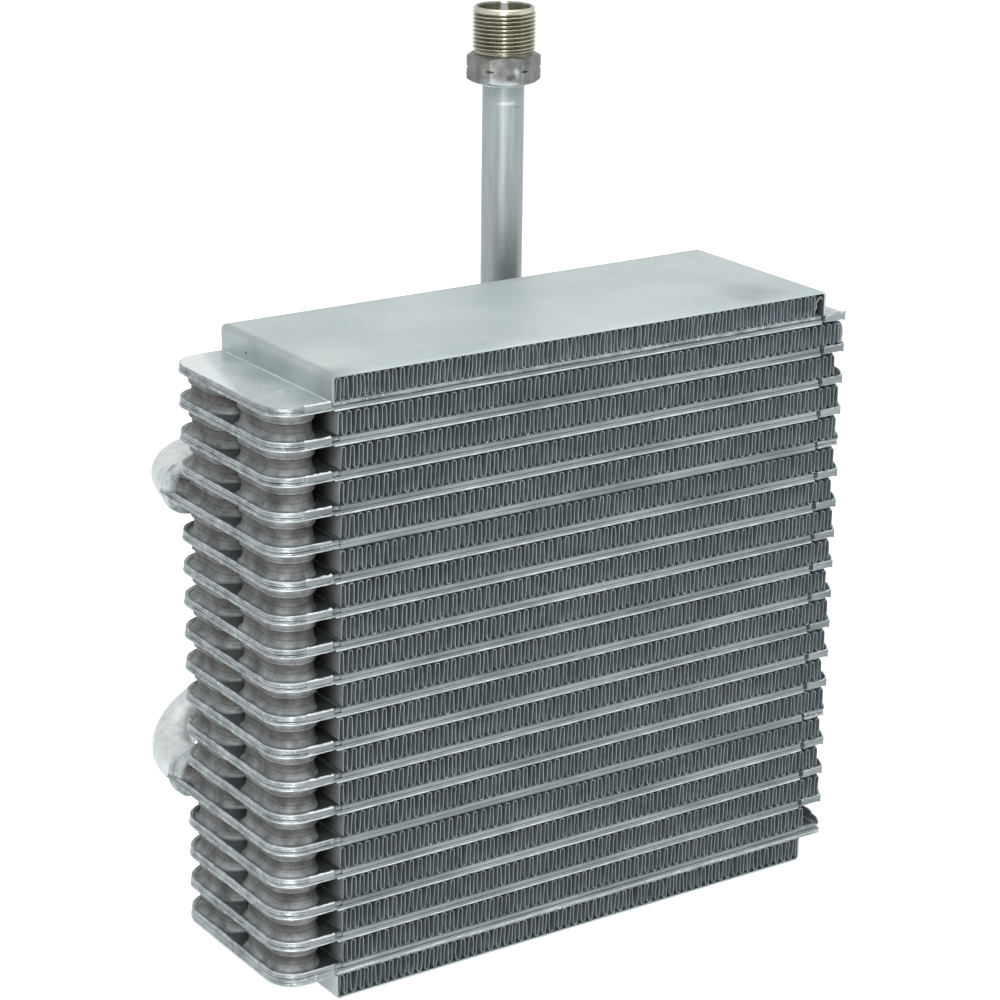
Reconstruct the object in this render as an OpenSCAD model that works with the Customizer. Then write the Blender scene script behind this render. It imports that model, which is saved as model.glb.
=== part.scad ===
// Evaporator core of a vehicle air conditioner, brazed from stamped aluminium plates.
// Eighteen flat tubes lie on each other with corrugated fins between them. Each tube is
// a pair of plates, and cups drawn at one end of every plate join up into two tanks.
// The origin is the middle of the bottom cover's underside: X runs along the fins with the
// tanks at the negative end, Y runs from the front face to the back, and Z is up the stack.

/* [Core] */
// Length of the finned zone, and of both covers
core_len = 212; // [150:1:260]
// Depth of the plates, the fins and the covers
core_depth = 76; // [66:1:100]
// Distance from one tube to the next
tube_pitch = 12.25; // [11:0.05:15]
// Thickness of a tube across its raised channels
tube_h = 3.1; // [2.8:0.1:4.2]

/* [Plates] */
// Thickness of the plates' sheet
sheet_t = 0.6; // [0.4:0.05:0.8]
// Height of one plate's rim round the tanks
rim_h = 1.25; // [1:0.05:1.4]
// Reach of the tanks beyond the covers
tank_len = 22.3; // [20:0.1:28]
// Corner radius of the plates round the tanks
tank_corner_r = 11.8; // [6:0.1:16]
// Reach of the plates beyond the covers at the far end
end_reach = 9.5; // [6:0.1:14]
// Width of the brazed seam along the plates' long edges
seam_w = 3; // [2:0.1:5]
// Width of the rib between the two runs of a tube
rib_w = 2.4; // [1:0.1:5]
// Width of the turn between the two runs at the far end
turn_w = 14; // [8:0.5:24]
// Height of the stop for the fins at the far end
stop_h = 4.2; // [3.4:0.1:5]
// Height of that stop at its two ends
stop_end_h = 2.8; // [2.6:0.1:3.2]
// Length of those lower ends
stop_end_len = 4.6; // [3:0.1:8]
// Distance from the corners to the ends of that stop
stop_inset = 0.8; // [0.5:0.1:8]
// Width of the notches where the folded lips change sides
notch_w = 2.6; // [1.5:0.1:4]
// Length of the folded lips beside the tanks
tank_lip_len = 8.5; // [5:0.1:11]
// How far a tank lip or an end lip folds past the other plate's rim
lip_over = 0.9; // [0.3:0.1:1.5]
// Thickness of the sheet closing the bottom tube
bottom_sheet_t = 1.25; // [0.8:0.05:2]

/* [Cups] */
// Distance from the plates' edge to a cup
cup_margin = 3.5; // [3:0.1:5]
// Width of a cup
cup_w = 16.6; // [13:0.1:17.5]
// Gap between the front cup and the rear cup
cup_gap = 4.4; // [3.8:0.1:8]
// Thickness of a cup's wall
cup_wall = 0.8; // [0.5:0.05:1.2]
// Width of the flare at a cup's foot
flare_w = 0.9; // [0.3:0.1:1.2]
// Height of the flare at a cup's foot
flare_h = 1.4; // [0.5:0.1:2]
// Depth of the collar that takes the next plate's cup
collar_h = 2.7; // [1.5:0.1:3.5]
// Thickness of that collar
collar_t = 1.25; // [0.8:0.05:1.4]
// Brazing gap between a cup and its collar
cup_fit = 0.05; // [0.03:0.01:0.1]

/* [Fins] */
// Length of one full wave of the fins
fin_wave = 3.52; // [3:0.02:4.5]
// Thickness of the fin sheet
fin_t = 0.2; // [0.12:0.02:0.3]
// Length of a flat crest
fin_crest = 1.1; // [0.6:0.05:1.3]
// Distance from the covers' end to the first fin
fin_lead = 4.4; // [3:0.1:8]
// Distance from the stop at the far end to the last fin
fin_tail = 2.8; // [1:0.1:9]
// How far the fins sit back from the plates' edges
fin_inset = 0.3; // [0:0.05:1]

/* [Covers] */
// Height of a cover
cover_h = 9.2; // [7:0.1:12]
// Thickness of a cover's sheet
cover_t = 1; // [0.8:0.05:1.5]
// Outside radius of a cover's bends
cover_bend_r = 1.8; // [1.6:0.1:3]

/* [Pipes] */
// Outside diameter of the pipes
pipe_d = 16; // [12:0.5:16.5]
// Wall of the pipes
pipe_wall = 1.5; // [1:0.1:2]
// Brazing gap round a pipe in its socket
pipe_fit = 0.1; // [0.05:0.01:0.2]
// Wall of the sockets that the plates form for the pipes
socket_wall = 1.8; // [1.2:0.1:1.8]
// Reach of the sockets behind the plates
socket_reach = 8.3; // [7:0.1:14]
// Distance from the cups' middle to the sockets' middle, towards the tanks' end
socket_shift = 1.2; // [0.6:0.1:1.2]
// Straight stretch of the outlet pipe behind its socket
outlet_lead = 7.6; // [0.5:0.1:10]
// Radius of the outlet pipe's first bend
outlet_bend_r = 21.1; // [16:0.1:30]
// Slope of the outlet pipe behind the core
outlet_slope = 29; // [20:1:50]
// Radius of the outlet pipe's second bend
riser_bend_r = 30; // [20:1:50]
// Distance from the covers' end to the riser's middle
riser_offset = 143.5; // [120:0.5:146]
// Height of the riser's threaded end over the plates
riser_h = 104; // [70:0.5:140]
// Straight stretch of the inlet pipe behind its socket
inlet_lead = 1.1; // [0.5:0.1:3]
// Radius of the inlet pipe's bend
inlet_bend_r = 28; // [20:0.1:32]
// Angle of that bend, which leaves the pipe leaning out behind the riser
inlet_turn = 75; // [60:1:78]
// Straight run of the inlet pipe along the back
inlet_run = 30; // [24:1:40]
// Distance from the inlet pipe's end to its rolled bead
bead_offset = 9; // [5:0.5:15]
// Height of the rolled bead over the pipe
bead_h = 1.6; // [0.8:0.1:2.5]

/* [Fitting] */
// Outside diameter of the thread
thread_d = 24; // [22:0.5:25]
// Length of the thread
thread_len = 17.6; // [12:0.2:24]
// Size of the hexagon across its flats
hex_af = 25; // [25:0.5:32]
// Height of the hexagon
hex_h = 10.8; // [8:0.2:16]
// Depth of the groove round the hexagon
hex_groove = 0.9; // [0.3:0.1:1]
// Bore in the mouth of the fitting
mouth_d = 20; // [17:0.5:20.5]
// Depth of that bore
mouth_depth = 12; // [6:0.5:16]
// Depth of the pipe in the fitting
pipe_depth = 8; // [4:0.5:10]
// Turn of the hexagon about the riser
hex_turn = 32.6; // [0:0.1:60]

/* [Hidden] */
$fn = 48;
tube_count = 18;
row_count = tube_count + 1;
inlet_tube = 5;
outlet_tube = 14;
TUBES = [for (k = [1 : tube_count]) k];
ROWS = [for (k = [1 : row_count]) k];
function two(k) = str(k < 10 ? "0" : "", k);
function upper_name(k) = k == 1 ? "top_end_plate" : str("plate_", two(k), "_upper");
function lower_name(k) = k == tube_count ? "bottom_end_plate" : str("plate_", two(k), "_lower");
function row_name(k) = str("fins_", two(k));
function hundredths(v) = round(100 * v) / 100;

// Everything is laid out from the covers' end beside the tanks
x0 = -core_len / 2;
half_d = core_depth / 2;
far_x = core_len + end_reach;
cut = 1;
half_tube = tube_h / 2;
bottom_tube_z = cover_h + bottom_sheet_t + half_tube;
top_tube_z = bottom_tube_z + (tube_count - 1) * tube_pitch;
stack_top = top_tube_z + half_tube;
function tube_z(k) = top_tube_z - (k - 1) * tube_pitch;

cup_r = cup_w / 2;
cup_x = -tank_len + cup_margin + cup_r;
cup_far_y = half_d - cup_margin;
cup_len = cup_far_y - cup_gap / 2;
cup_y = (cup_far_y + cup_gap / 2) / 2;
cup_straight = cup_len - cup_w;
cup_top = tube_pitch - rim_h;
tank_floor = rim_h - sheet_t;
run_floor = half_tube - sheet_t;

fin_row_h = tube_pitch - tube_h;
cover_row_h = cover_h - cover_t;
fin_depth = core_depth - 2 * fin_inset;

pipe_r = pipe_d / 2;
socket_r = pipe_r + pipe_fit;
socket_x = cup_x - socket_shift;
socket_root = half_d - 0.4;
socket_seat = half_d + 0.5;
socket_mouth = half_d + socket_reach;
throat_r = 4.2;
throat_wall = 0.8;
brim_w = 0.7;
mouth_chamfer = 0.8;
brim_h = 0.7;
end_lap = 0.4;
end_step = 0.04;
stop_corner_r = 1.2;

aluminium = [0.72, 0.75, 0.76];
plate_grey = [0.62, 0.65, 0.66];
fin_grey = [0.42, 0.46, 0.49];
pipe_grey = [0.78, 0.82, 0.83];
fitting_metal = [0.66, 0.65, 0.6];

// Rounded at the tanks, square along the fins and at the far end
module plate_outline() {
    r = tank_corner_r;
    translate([-tank_len, -half_d + r]) square([tank_len + far_x, core_depth - 2 * r]);
    translate([-tank_len + r, -half_d]) square([tank_len - r + far_x, core_depth]);
    for (s = [-1, 1]) translate([-tank_len + r, s * (half_d - r)]) circle(r);
}

// A section swept round a cup's outline: X in the section is the distance from the cup's middle line
module cup_sweep() {
    for (turn = [0, 180]) rotate(turn) {
        translate([0, cup_straight / 2]) rotate_extrude(angle = 180) children();
        rotate([90, 0, 0]) translate([0, 0, -cup_straight / 2]) linear_extrude(cup_straight) children();
    }
}

module cup_area(r) {
    square([2 * r, cup_straight], center = true);
    for (s = [-1, 1]) translate([0, s * cup_straight / 2]) circle(r);
}

module at_cups() {
    for (s = [-1, 1]) translate([cup_x, s * cup_y, 0]) children();
}

// The two runs of a tube, joined by the turn at the far end
module run_area() {
    run_far = core_len - 2;
    for (s = [0, 1]) mirror([0, s]) translate([cut, rib_w / 2])
        square([run_far - cut, half_d - seam_w - rib_w / 2]);
    translate([run_far - turn_w, -half_d + seam_w]) square([turn_w, core_depth - 2 * seam_w]);
}

// The passages from the two cups into the runs
module throat_area() {
    side = cup_gap / 2 + cup_wall + 1;
    for (s = [0, 1]) mirror([0, s]) translate([cup_x, side])
        square([2 * cut - cup_x, cup_far_y - cup_r / 2 - side]);
}

// Half of a tube without its cups: rim, raised runs and the hollow between the plates.
// With a socket, the tank corner on that side (1 or -1 in Y) stays square and carries its brim.
module plate_body(socket_side = 0) {
    difference() {
        union() {
            linear_extrude(rim_h) {
                plate_outline();
                if (socket_side != 0) mirror([0, socket_side < 0 ? 1 : 0])
                    translate([-tank_len, 0]) square([2 * tank_corner_r, half_d]);
            }
            translate([0, -half_d, 0]) cube([core_len, core_depth, half_tube]);
        }
        translate([0, 0, -cut]) linear_extrude(run_floor + cut) run_area();
        translate([0, 0, -cut]) linear_extrude(tank_floor + cut) throat_area();
    }
}

// Lips along one long edge that fold down over the other plate
module edge_lip(x, length, depth) {
    translate([x, -half_d - sheet_t, -depth]) cube([length, sheet_t, depth + sheet_t]);
}

module lips() {
    edge_lip(notch_w / 2, core_len - 1.5 * notch_w, half_tube - 0.1);
    mirror([0, 1, 0]) {
        edge_lip(-notch_w / 2 - tank_lip_len, tank_lip_len, rim_h + lip_over);
        edge_lip(core_len + notch_w / 2, end_reach - notch_w / 2, rim_h + lip_over);
    }
}

module stop_outline(length, height) {
    r = stop_corner_r;
    translate([-length / 2, -0.1]) square([length, height - r + 0.1]);
    translate([-length / 2 + r, 0]) square([length - 2 * r, height]);
    for (s = [-1, 1]) translate([s * (length / 2 - r), height - r]) circle(r);
}

// The far edge folded up to stop the fins, lower at its two ends
module fin_stop() {
    span = core_depth - 2 * stop_inset;
    translate([far_x - sheet_t, 0, rim_h]) rotate([90, 0, 90]) linear_extrude(sheet_t) {
        stop_outline(span, stop_end_h);
        stop_outline(span - 2 * stop_end_len, stop_h);
    }
}

// Half of the socket for a pipe: it swells from the rear cup to the mouth, and its brim goes on
// from the plates' edge
module half_socket(with_throat) {
    outer_r = socket_r + socket_wall;
    root_y = with_throat ? cup_far_y - cup_wall : cup_far_y + 2 * cup_fit;
    edge_x = -tank_len - socket_x;
    translate([socket_x, 0, 0]) difference() {
        union() {
            rotate([-90, 0, 0]) rotate_extrude() polygon([
                [0, root_y],
                [throat_r + throat_wall, root_y],
                [outer_r, socket_root],
                [outer_r, socket_mouth - mouth_chamfer],
                [outer_r - mouth_chamfer, socket_mouth],
                [0, socket_mouth]
            ]);
            translate([edge_x, half_d - seam_w, 0])
                cube([outer_r + brim_w - edge_x, socket_mouth - half_d + seam_w - brim_w, brim_h]);
        }
        translate([0, socket_seat, 0]) rotate([-90, 0, 0]) cylinder(r = socket_r, h = socket_reach + cut);
        if (with_throat) translate([0, cup_y, 0]) rotate([-90, 0, 0]) cylinder(r = throat_r, h = half_d);
        translate([-core_depth, 0, -core_depth]) cube([2 * core_depth, 2 * core_depth, core_depth]);
    }
}

// Plate with cups that rise to the tube above
module rising_plate(manifold = false) {
    difference() {
        union() {
            plate_body(manifold ? 1 : 0);
            if (!manifold) lips();
            fin_stop();
            at_cups() cup_sweep() polygon([
                [0, tank_floor],
                [cup_r + flare_w, tank_floor],
                [cup_r + flare_w, rim_h],
                [cup_r + flare_w / 3, rim_h + flare_h / 3],
                [cup_r, rim_h + flare_h],
                [cup_r, cup_top],
                [0, cup_top]
            ]);
            if (manifold) half_socket(true);
        }
        at_cups() translate([0, 0, -cut]) linear_extrude(tube_pitch + cut) cup_area(cup_r - cup_wall);
        if (manifold) translate([socket_x, cup_y, 0]) rotate([-90, 0, 0]) cylinder(r = throat_r, h = socket_seat - cup_y);
    }
}

// Plate with collars that hang round the cups of the tube below. Drawn rim up, then turned over.
module hanging_plate(manifold = false) {
    collar_r = cup_r + cup_fit;
    rotate([180, 0, 0]) difference() {
        union() {
            plate_body(manifold ? -1 : 0);
            if (!manifold) lips();
            at_cups() cup_sweep() polygon([
                [0, tank_floor],
                [collar_r + collar_t, tank_floor],
                [collar_r + collar_t, rim_h + collar_h - collar_t / 3],
                [collar_r + collar_t * 2 / 3, rim_h + collar_h],
                [0, rim_h + collar_h]
            ]);
            if (manifold) mirror([0, 1, 0]) half_socket(false);
        }
        at_cups() translate([0, 0, rim_h]) linear_extrude(collar_h + cut) cup_area(collar_r);
        at_cups() translate([0, 0, -cut]) linear_extrude(rim_h + 2 * cut) cup_area(cup_r - cup_wall);
    }
}

// Flat sheet that closes the top tube, without cups
module top_end_plate() {
    difference() {
        union() {
            linear_extrude(half_tube) plate_outline();
            edge_lip(notch_w / 2, core_len - 1.5 * notch_w, half_tube - 0.1);
        }
        translate([0, 0, -cut]) linear_extrude(run_floor / 2 + cut) run_area();
        translate([0, 0, -cut]) linear_extrude(run_floor / 2 + cut) throat_area();
    }
}

// Thicker sheet that closes the bottom tube, without collars
module bottom_end_plate() {
    mirror([0, 0, 1]) difference() {
        linear_extrude(half_tube + bottom_sheet_t) plate_outline();
        translate([0, 0, -cut]) linear_extrude(run_floor + cut) run_area();
        translate([0, 0, -cut]) linear_extrude(run_floor + cut) throat_area();
    }
}

module upper_plate(k) {
    color(k == 1 ? aluminium : plate_grey) translate([x0, 0, tube_z(k)])
        if (k == 1) top_end_plate();
        else rising_plate(k == inlet_tube || k == outlet_tube);
}

module lower_plate(k) {
    color(plate_grey) translate([x0, 0, tube_z(k)])
        if (k == tube_count) bottom_end_plate();
        else hanging_plate(k == inlet_tube || k == outlet_tube);
}

// One corrugated strip. Its waves stand between two flat faces that are row_h apart: every
// wave has four corners, low, high, high and low, and side is 1 above the sheet, -1 below it.
function wave_corner(i, row_h, side) =
    let (
        step = i % 4,
        slant = fin_wave / 2 - fin_crest,
        lean = fin_t / 2 * tan(atan2(row_h - fin_t, slant) / 2),
        x = floor(i / 4) * fin_wave + [0, slant, slant + fin_crest, fin_wave - fin_crest][step],
        z = step == 1 || step == 2 ? row_h - fin_t / 2 : fin_t / 2
    )
    [x + (step < 2 ? -1 : 1) * side * lean, z + side * fin_t / 2];

module fin_strip(length, row_h) {
    waves = floor(length / fin_wave);
    last = 4 * waves - 1;
    start = (length - waves * fin_wave) / 2 + fin_crest / 2;
    end_x = waves * fin_wave - fin_crest / 2;
    top_side = [for (i = [0 : last]) wave_corner(i, row_h, 1)];
    low_side = [for (i = [last : -1 : 0]) wave_corner(i, row_h, -1)];
    translate([start, half_d - fin_inset, 0]) rotate([90, 0, 0]) linear_extrude(fin_depth) polygon(concat(
        [[-fin_crest / 2, 0], [-fin_crest / 2, fin_t]],
        top_side,
        [[end_x, fin_t], [end_x, 0]],
        low_side
    ));
}

module fin_row(k) {
    in_cover = k == 1 || k == row_count;
    z = k == 1 ? stack_top : k == row_count ? cover_t : tube_z(k) + half_tube;
    open_x = in_cover ? cover_t : fin_lead;
    open_len = in_cover ? core_len - 2 * cover_t : far_x - fin_tail - fin_lead;
    color(fin_grey) translate([x0 + open_x, 0, z]) fin_strip(open_len, in_cover ? cover_row_h : fin_row_h);
}

// Folded sheet: a flat web with an end wall at each side
module cover() {
    inner_r = cover_bend_r - cover_t;
    rotate([90, 0, 0]) translate([0, 0, -half_d]) linear_extrude(core_depth) difference() {
        union() {
            translate([0, 0]) square([core_len, cover_h - cover_bend_r]);
            translate([cover_bend_r, 0]) square([core_len - 2 * cover_bend_r, cover_h]);
            for (x = [cover_bend_r, core_len - cover_bend_r]) translate([x, cover_h - cover_bend_r]) circle(cover_bend_r);
        }
        translate([cover_t, -cut]) square([core_len - 2 * cover_t, cover_h - cover_bend_r + cut]);
        translate([cover_bend_r, -cut]) square([core_len - 2 * cover_bend_r, cover_h - cover_t + cut]);
        for (x = [cover_bend_r, core_len - cover_bend_r]) translate([x, cover_h - cover_bend_r]) circle(inner_r);
    }
}

module top_cover() {
    color(aluminium) translate([x0, 0, stack_top]) cover();
}

module bottom_cover() {
    color(aluminium) translate([x0, 0, cover_h]) mirror([0, 0, 1]) cover();
}

module pipe_section(step = 0) {
    difference() {
        circle(pipe_r + step);
        circle(pipe_r - pipe_wall + step);
    }
}

// Out of the socket, round and along the back, leaning out so that the riser is not in line
// with its end
module inlet_pipe() {
    bend_y = socket_mouth + inlet_lead;
    color(pipe_grey) translate([x0 + socket_x, 0, tube_z(inlet_tube)]) {
        translate([0, socket_seat, 0]) rotate([-90, 0, 0])
            linear_extrude(bend_y - socket_seat + end_lap) pipe_section(end_step);
        translate([inlet_bend_r, bend_y, 0]) rotate(90 - inlet_turn) {
            rotate(90) rotate_extrude(angle = inlet_turn) translate([inlet_bend_r, 0]) pipe_section();
            translate([0, inlet_bend_r, 0]) rotate([0, 90, 0]) {
                linear_extrude(inlet_run) pipe_section();
                translate([0, 0, inlet_run - bead_offset]) rotate_extrude() intersection() {
                    translate([pipe_r, 0]) circle(bead_h);
                    translate([pipe_r - pipe_wall / 2, -bead_h]) square(2 * bead_h);
                }
            }
        }
    }
}

// Out of the socket, up a slope along the back and up the riser. The bends are drawn about the
// slope's own axis, and the two upright or level ends are a hair wider and lap over them.
module outlet_pipe() {
    bend_y = socket_mouth + outlet_lead;
    back_y = bend_y + outlet_bend_r;
    riser_x = riser_offset - socket_x;
    slope_end = hundredths((riser_x - riser_bend_r * (1 - sin(outlet_slope))) / cos(outlet_slope));
    riser_foot = slope_end * sin(outlet_slope) + riser_bend_r * cos(outlet_slope) - end_lap;
    riser_top = stack_top + riser_h - thread_len - hex_h + pipe_depth - tube_z(outlet_tube);
    color(pipe_grey) translate([x0 + socket_x, 0, tube_z(outlet_tube)]) {
        translate([0, socket_seat, 0]) rotate([-90, 0, 0])
            linear_extrude(bend_y - socket_seat + end_lap) pipe_section(end_step);
        rotate([0, 90 - outlet_slope, 0]) {
            translate([0, bend_y, outlet_bend_r]) rotate([0, 90, 0])
                rotate_extrude(angle = 90) translate([outlet_bend_r, 0]) pipe_section();
            translate([0, back_y, outlet_bend_r]) linear_extrude(slope_end - outlet_bend_r) pipe_section();
            translate([-riser_bend_r, back_y, slope_end]) rotate([90, 0, 0])
                rotate_extrude(angle = 90 - outlet_slope) translate([riser_bend_r, 0]) pipe_section();
        }
        translate([riser_x, back_y, riser_foot]) linear_extrude(riser_top - riser_foot) pipe_section(end_step);
    }
}

// Male fitting brazed on the riser: hexagon below, thread above
module outlet_fitting() {
    chamfer = 1;
    hex_r = hex_af / sqrt(3);
    turned_r = hex_r - 0.3;
    thread_root = thread_d / 2 - 1;
    relief_h = 1.2;
    riser_y = socket_mouth + outlet_lead + outlet_bend_r;
    color(fitting_metal) translate([x0 + riser_offset, riser_y, stack_top + riser_h - thread_len - hex_h])
    difference() {
        union() {
            intersection() {
                rotate(hex_turn) cylinder(r = hex_r, h = hex_h, $fn = 6);
                rotate_extrude() polygon([
                    [0, 0],
                    [turned_r - 2 * chamfer, 0],
                    [turned_r, chamfer],
                    [turned_r, hex_h / 2 - hex_groove],
                    [turned_r - 2 * hex_groove, hex_h / 2],
                    [turned_r, hex_h / 2 + hex_groove],
                    [turned_r, hex_h - chamfer],
                    [turned_r - 2 * chamfer, hex_h],
                    [0, hex_h]
                ]);
            }
            translate([0, 0, hex_h - 0.1]) cylinder(r = thread_root, h = relief_h + 0.1);
            translate([0, 0, hex_h + relief_h]) cylinder(r = thread_d / 2, h = thread_len - relief_h - chamfer);
            translate([0, 0, hex_h + thread_len - chamfer])
                cylinder(r1 = thread_d / 2, r2 = thread_root, h = chamfer);
        }
        translate([0, 0, -cut]) cylinder(r = socket_r, h = pipe_depth + cut);
        cylinder(r = pipe_r - pipe_wall, h = hex_h + thread_len + cut);
        translate([0, 0, hex_h + thread_len - mouth_depth]) cylinder(r = mouth_d / 2, h = mouth_depth + cut);
    }
}

for (k = TUBES) {
    upper_plate(k);
    lower_plate(k);
}
for (k = ROWS)
    fin_row(k);
top_cover();
bottom_cover();
inlet_pipe();
outlet_pipe();
outlet_fitting();
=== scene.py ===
import math

import bmesh
import bpy
import numpy as np
from mathutils import Matrix


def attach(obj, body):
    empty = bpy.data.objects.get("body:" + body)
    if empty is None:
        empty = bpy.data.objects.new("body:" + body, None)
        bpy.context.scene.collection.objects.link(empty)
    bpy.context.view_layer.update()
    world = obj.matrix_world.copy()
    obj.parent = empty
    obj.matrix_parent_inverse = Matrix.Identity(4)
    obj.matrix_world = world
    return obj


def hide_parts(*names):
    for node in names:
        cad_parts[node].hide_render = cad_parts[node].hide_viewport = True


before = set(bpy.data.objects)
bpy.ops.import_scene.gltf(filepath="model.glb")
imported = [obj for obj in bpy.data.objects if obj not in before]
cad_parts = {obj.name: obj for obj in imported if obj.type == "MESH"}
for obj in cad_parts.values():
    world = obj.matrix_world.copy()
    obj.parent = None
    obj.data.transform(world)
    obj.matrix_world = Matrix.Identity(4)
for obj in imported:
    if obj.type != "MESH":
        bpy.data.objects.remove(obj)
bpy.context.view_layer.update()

# Lengths are in millimetres up to make(), with X from the covers' end beside the tanks,
# Y from the middle of the core and Z from the surface that it stands on.
X0 = -106.0
# the covers' length, half the core's depth, the height of one tube with its fins
CORE_LEN, HALF_D, PITCH = 212.0, 38.0, 12.25
# half a tube's height, the height of a plate's flange, the plates' two ends
HALF_TUBE, RIM = 1.55, 1.25
TANK_LEN, FAR_X = 22.3, 221.5
COVER_H, SHEET_BOTTOM = 9.2, 1.25
TUBES = 18
BOTTOM_TUBE_Z = COVER_H + SHEET_BOTTOM + HALF_TUBE
TOP_TUBE_Z = BOTTOM_TUBE_Z + (TUBES - 1) * PITCH
STACK_TOP = TOP_TUBE_Z + HALF_TUBE
# cups: their middles, the radius of their ends and the straight part between
CUP_X, CUP_Y, CUP_R, CUP_STRAIGHT = -10.5, 18.35, 8.3, 15.7
REAR_CUP_SHORT = 2.0
# pipe sockets, and the tubes that carry them
SOCKET_X, SOCKET_R, MOUTH_Y = -11.7, 9.9, HALF_D + 8.3
INLET_TUBE, OUTLET_TUBE = 5, 14
# notches in the front edge, where the folded lips change sides
NEAR_NOTCH, FAR_NOTCH = (-0.5, 0.6), (210.4, 211.7)
NEAR_DEPTH, FAR_DEPTH = 0.35, 2.8
# pipes and fitting
PIPE_R, PIPE_WALL = 8.0, 1.5
HEX_AF, HEX_H, THREAD_LEN = 25.0, 10.8, 17.6
THREAD_PITCH, CREST_R, ROOT_R, BORE_R = 1.5, 12.0, 11.05, 10.0
FIT_Z = STACK_TOP + 104 - THREAD_LEN - HEX_H
THREAD_TOP = FIT_Z + HEX_H + THREAD_LEN
RISE_X, OUT_LEAD, OUT_R = 143.5, 7.6, 21.1
BACK_Y = MOUTH_Y + OUT_LEAD + OUT_R


def tube_z(k):
    return TOP_TUBE_Z - (k - 1) * PITCH


def lin(r, g, b):
    """A colour of 0 to 255 as the linear values that the sockets take."""
    values = (((c / 255 + 0.055) / 1.055) ** 2.4 if c > 10 else c / 255 / 12.92 for c in (r, g, b))
    return (*values, 1.0)


def grey(v):
    return lin(v, v, v)


def waves(seed, count, low, high):
    """A smooth seeded curve with values about -1 to 1, of count sines between two frequencies."""
    rng = np.random.default_rng(seed)
    freq = rng.uniform(low, high, count)
    phase = rng.uniform(0, 2 * math.pi, count)
    share = rng.uniform(0.4, 1.0, count)
    share /= share.sum()
    return lambda u: sum(share[i] * np.sin(2 * math.pi * freq[i] * u + phase[i]) for i in range(count)) * 1.6


def tangents(line):
    """Unit directions along a line of points."""
    T = np.gradient(line, axis=0)
    return T / np.linalg.norm(T, axis=1)[:, None]


# Meshes

class Shape:
    def __init__(self):
        self.v, self.f, self.m = [], [], []
        self.n = 0

    def add(self, verts, faces, mat=0):
        verts = np.asarray(verts, float).reshape(-1, 3)
        self.v.append(verts)
        self.f += [tuple(int(i) + self.n for i in f) for f in faces]
        self.m += [mat] * len(faces) if isinstance(mat, int) else list(mat)
        self.n += len(verts)

    def grid(self, P, close_u=False, close_v=False, mat=0):
        """P[u][v] is a point; faces join neighbours both ways. mat may be one number, or one for each v."""
        P = np.asarray(P, float)
        nu, nv = P.shape[:2]
        faces, mats = [], []
        for i in range(nu if close_u else nu - 1):
            a, b = i * nv, ((i + 1) % nu) * nv
            for j in range(nv if close_v else nv - 1):
                k = (j + 1) % nv
                faces.append((a + j, b + j, b + k, a + k))
                mats.append(mat if isinstance(mat, int) else mat[j])
        self.add(P, faces, mats)

    def cap(self, ring, mat=0):
        self.add(ring, [tuple(range(len(ring)))], mat)


def make(name, shape, mats, slot, *nodes, smooth=32):
    verts = (np.vstack(shape.v) + [X0, 0, 0]) * 0.001
    me = bpy.data.meshes.new(name)
    me.from_pydata(verts.tolist(), [], shape.f)
    for m in mats:
        me.materials.append(m)
    me.polygons.foreach_set("material_index", np.array(shape.m, dtype=np.int32))
    me.polygons.foreach_set("use_smooth", np.ones(len(shape.f), dtype=bool))
    bm = bmesh.new()
    bm.from_mesh(me)
    bmesh.ops.remove_doubles(bm, verts=bm.verts, dist=1e-6)
    bmesh.ops.recalc_face_normals(bm, faces=bm.faces)
    bm.to_mesh(me)
    bm.free()
    me.set_sharp_from_angle(angle=math.radians(smooth))
    me.update()
    ob = bpy.data.objects.new(name, me)
    bpy.context.scene.collection.objects.link(ob)
    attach(ob, "root")
    if nodes:
        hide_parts(*nodes)
    return ob


def racetrack(r, straight, n=20):
    """Points round a slot along Y, counter-clockwise, with outward normals."""
    out = []
    for s, a0 in ((1, 0), (-1, math.pi)):
        for a in np.linspace(a0, a0 + math.pi, n):
            out.append((r * math.cos(a), s * straight / 2 + r * math.sin(a), math.cos(a), math.sin(a)))
    return np.array(out)


def rounded(cx, cy, r, a0, a1):
    """A rounded corner of an outline: x, y and the outward normal."""
    return [(cx + r * math.cos(a), cy + r * math.sin(a), math.cos(a), math.sin(a)) for a in np.linspace(a0, a1, 15)]


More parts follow.
